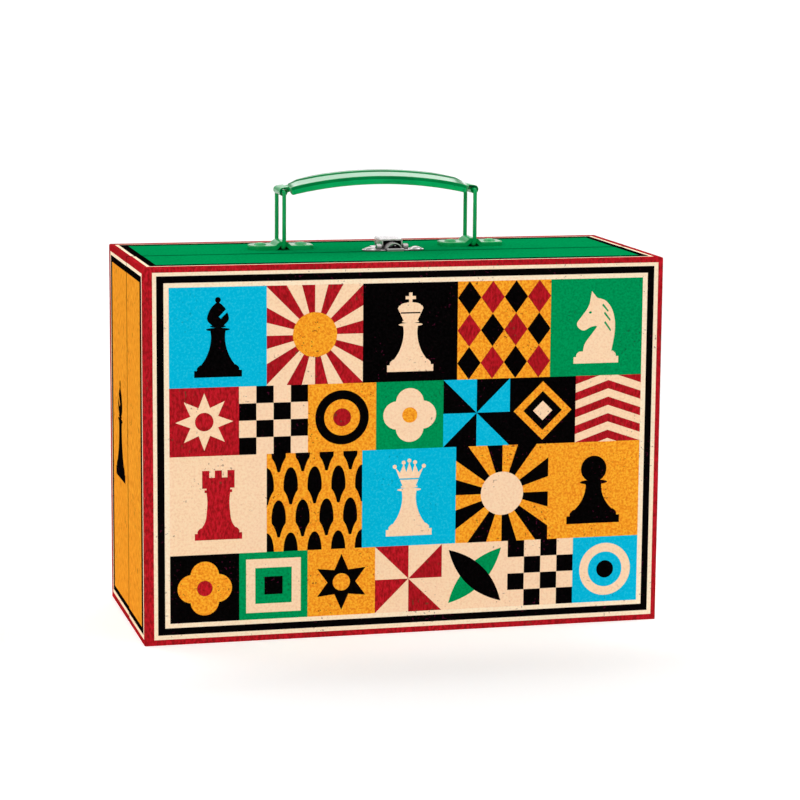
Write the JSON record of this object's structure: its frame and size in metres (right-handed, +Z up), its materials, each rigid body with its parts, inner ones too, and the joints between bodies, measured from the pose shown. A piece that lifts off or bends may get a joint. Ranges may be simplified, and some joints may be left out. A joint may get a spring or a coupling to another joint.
{
  "type": "chess storage case",
  "caption": "Upright paper-covered board case in two hinged halves, with a folding arched metal handle and a small lift latch on top.",
  "frame": {"origin": "middle of the base, on the surface the case stands on", "axes": "+X along the width to the right of the front face, -Y out of the front face, +Z up"},
  "size_m": [0.3, 0.126, 0.2574],
  "materials": {
    "greyboard": "matte",
    "printed_wrap": "satin",
    "lining_paper": "matte",
    "base_cloth": "matte",
    "neck_board": "matte",
    "green_enamel": "gloss",
    "nickel_plate": "polished",
    "zinc_steel": "satin",
    "spring_steel": "satin"
  },
  "bodies": {
    "rear_half": {"rear_back_board": "greyboard", "rear_left_board": "greyboard", "rear_right_board": "greyboard", "rear_top_board": "greyboard", "rear_bottom_board": "greyboard", "rear_wrap": "printed_wrap", "rear_lining": "lining_paper", "base_cloth_rear_half": "base_cloth", "neck_left": "neck_board", "neck_right": "neck_board", "neck_top": "neck_board", "handle_bracket_left": "green_enamel", "handle_bracket_right": "green_enamel", "bracket_rivets": "green_enamel", "bracket_washers": "zinc_steel", "latch_base": "nickel_plate", "latch_rivets": "nickel_plate", "latch_washers": "zinc_steel", "latch_pin": "nickel_plate", "latch_spring": "spring_steel"},
    "front_half": {"front_face_board": "greyboard", "front_left_board": "greyboard", "front_right_board": "greyboard", "front_top_board": "greyboard", "front_bottom_board": "greyboard", "front_wrap": "printed_wrap", "front_lining": "lining_paper", "base_cloth_front_half": "base_cloth", "catch_tongue": "nickel_plate"},
    "latch_lever": {"latch_lever": "nickel_plate"},
    "ring_left": {"handle_ring_left": "green_enamel"},
    "ring_right": {"handle_ring_right": "green_enamel"},
    "grip": {"handle_grip": "green_enamel"}
  },
  "joints": [
    {"name": "front_hinge", "type": "hinge", "parent": "rear_half", "child": "front_half", "pos_m": [0, -0.005, 0], "axis": [1, 0, 0], "range_deg": [0, 175]},
    {"name": "latch_lift", "type": "hinge", "parent": "rear_half", "child": "latch_lever", "pos_m": [0.0064, 0.017, 0.2144], "axis": [-1, 0, 0], "range_deg": [0, 30], "deforming": ["latch_spring"]},
    {"name": "ring_left_hinge", "type": "hinge", "parent": "rear_half", "child": "ring_left", "pos_m": [-0.056, 0.02, 0.21365], "axis": [0, 1, 0], "range_deg": [-75, 75]},
    {"name": "ring_right_hinge", "type": "hinge", "parent": "rear_half", "child": "ring_right", "pos_m": [0.0582, 0.02, 0.21365], "axis": [0, 1, 0], "range_deg": [-75, 75]},
    {"name": "grip_pivot", "type": "hinge", "parent": "ring_left", "child": "grip", "pos_m": [-0.056, 0.02, 0.2456], "axis": [0, 1, 0], "range_deg": [-75, 75]}
  ],
  "couplings": [
    {"joint": "ring_right_hinge", "follows": "ring_left_hinge", "ratio": 1},
    {"joint": "grip_pivot", "follows": "ring_left_hinge", "ratio": -1}
  ]
}
